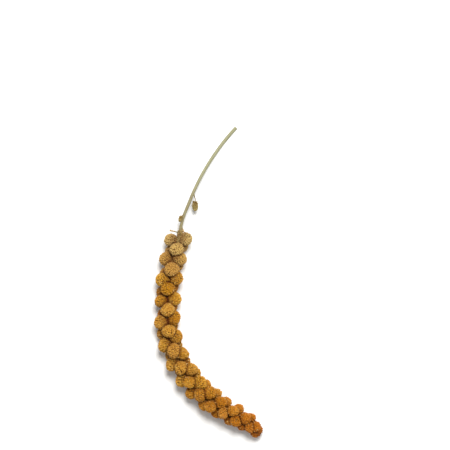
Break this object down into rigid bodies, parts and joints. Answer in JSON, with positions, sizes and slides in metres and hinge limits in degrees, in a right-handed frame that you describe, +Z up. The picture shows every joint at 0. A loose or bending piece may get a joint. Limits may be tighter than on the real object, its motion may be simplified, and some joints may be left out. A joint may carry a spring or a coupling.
{
  "type": "foxtail millet head",
  "caption": "Dried foxtail millet seed head, curved like a hook, lying on its side with a thin bare stem and round clusters of small golden-brown grain.",
  "frame": {"origin": "on the surface it lies on, under the middle of its bounding box", "axes": "+Y towards the stem's cut end, +Z up from the surface, +X to the right as seen from above"},
  "size_m": [0.0985, 0.2809, 0.0246],
  "materials": {
    "straw": "dry and matte",
    "grain": "dry, matte to faintly shiny husks"
  },
  "bodies": {
    "root": {"stem": "straw", "grain_head": "grain", "stalked_cluster": "grain", "seated_cluster": "grain"}
  },
  "joints": []
}
